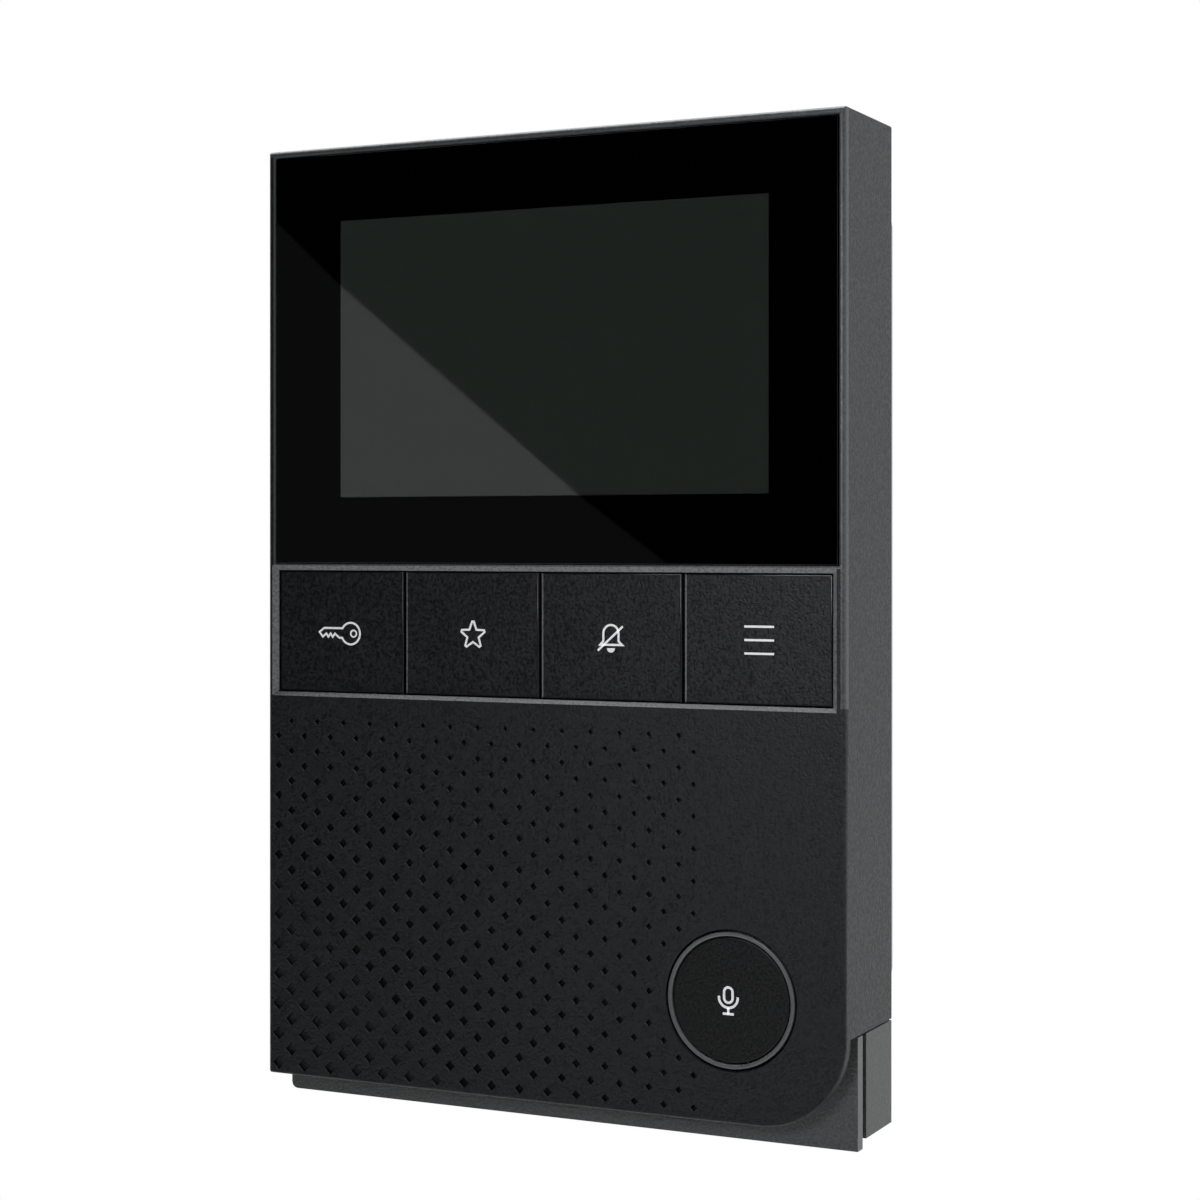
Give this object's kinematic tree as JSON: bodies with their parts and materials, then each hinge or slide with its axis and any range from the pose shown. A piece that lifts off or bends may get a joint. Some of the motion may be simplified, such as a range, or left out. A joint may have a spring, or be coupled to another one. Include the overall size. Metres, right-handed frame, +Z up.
{
  "type": "video intercom monitor",
  "caption": "Wall-mounted indoor video intercom monitor: glass-fronted colour display, row of square keys, perforated speaker field and round talk button.",
  "frame": {"origin": "on the back face of the wall plate, on the object's centre line, at half its height", "axes": "+Z up along the height, -Y out of the front face, +X to the right as seen from the front; the wall is the plane y = 0"},
  "size_m": [0.1166, 0.0248, 0.1792],
  "materials": {
    "cover_plastic": "fine moulded texture, anthracite",
    "key_plastic": "fine moulded texture, satin",
    "ring_plastic": "light grey satin",
    "cover_glass": "gloss black glass, printed border",
    "display": "unlit display, dark grey green",
    "light_guide": "white diffuser",
    "foam": "black closed-cell foam",
    "acoustic_cloth": "fine woven, dark grey",
    "frame_plastic": "fine moulded texture, mid grey",
    "housing_plastic": "fine moulded texture, grey",
    "steel": "zinc-plated sheet",
    "tinned_metal": "tinned sheet",
    "circuit_board": "green solder mask",
    "ribbon": "amber film",
    "black_plastic": "moulded, black",
    "terminal_plastic": "moulded, green",
    "connector_plastic": "moulded, cream",
    "rubber": "black, soft",
    "paper_cone": "black pulp",
    "magnet": "plated steel pot",
    "capacitor_sleeve": "shrink sleeve, dark blue",
    "red_insulation": "wire insulation, red",
    "black_insulation": "wire insulation, black"
  },
  "bodies": {
    "case": {"front_cover": "cover_plastic", "cover_glass": "cover_glass", "glass_adhesive": "foam", "lcd_panel": "display", "lcd_backlight": "light_guide", "lcd_frame": "tinned_metal", "lcd_flex_cable": "ribbon", "lcd_connector": "connector_plastic", "key_guide": "black_plastic", "switch_door": "black_plastic", "switch_favourite": "black_plastic", "switch_mute": "black_plastic", "switch_menu": "black_plastic", "switch_talk": "black_plastic", "mid_frame": "frame_plastic", "main_board": "circuit_board", "rear_housing": "housing_plastic", "wall_plate": "steel", "speaker_cloth": "acoustic_cloth", "speaker_basket": "tinned_metal", "speaker_magnet": "magnet", "speaker_gasket": "foam", "speaker_wire_red": "red_insulation", "speaker_wire_black": "black_insulation", "speaker_connector": "connector_plastic", "microphone": "tinned_metal", "microphone_boot": "rubber", "terminal_block": "terminal_plastic", "terminal_screw_1": "steel", "terminal_screw_2": "steel", "terminal_screw_3": "steel", "terminal_screw_4": "steel", "lan_socket": "tinned_metal", "processor_shield": "tinned_metal", "network_transformer": "black_plastic", "inductor": "black_plastic", "capacitor_1": "capacitor_sleeve", "capacitor_2": "capacitor_sleeve", "housing_screw_1": "steel", "housing_screw_2": "steel", "housing_screw_3": "steel", "housing_screw_4": "steel", "board_screw_1": "steel", "board_screw_2": "steel", "board_screw_3": "steel", "board_screw_4": "steel"},
    "door_key": {"key_door": "key_plastic", "plunger_door": "connector_plastic"},
    "favourite_key": {"key_favourite": "key_plastic", "plunger_favourite": "connector_plastic"},
    "mute_key": {"key_mute": "key_plastic", "plunger_mute": "connector_plastic"},
    "menu_key": {"key_menu": "key_plastic", "plunger_menu": "connector_plastic"},
    "talk_key": {"talk_button": "key_plastic", "talk_ring": "ring_plastic", "plunger_talk": "connector_plastic"},
    "cone": {"speaker_cone": "paper_cone"}
  },
  "joints": [
    {"name": "door_key_press", "type": "slide", "parent": "case", "child": "door_key", "axis": [0, 1, 0], "range_m": [0, 0.0005], "stiffness_N_per_m": 3200},
    {"name": "favourite_key_press", "type": "slide", "parent": "case", "child": "favourite_key", "axis": [0, 1, 0], "range_m": [0, 0.0005], "stiffness_N_per_m": 3200},
    {"name": "mute_key_press", "type": "slide", "parent": "case", "child": "mute_key", "axis": [0, 1, 0], "range_m": [0, 0.0005], "stiffness_N_per_m": 3200},
    {"name": "menu_key_press", "type": "slide", "parent": "case", "child": "menu_key", "axis": [0, 1, 0], "range_m": [0, 0.0005], "stiffness_N_per_m": 3200},
    {"name": "talk_key_press", "type": "slide", "parent": "case", "child": "talk_key", "axis": [0, 1, 0], "range_m": [0, 0.0005], "stiffness_N_per_m": 3200},
    {"name": "cone_stroke", "type": "slide", "parent": "case", "child": "cone", "axis": [0, 1, 0], "range_m": [-0.0003, 0.0003], "stiffness_N_per_m": 1500}
  ]
}
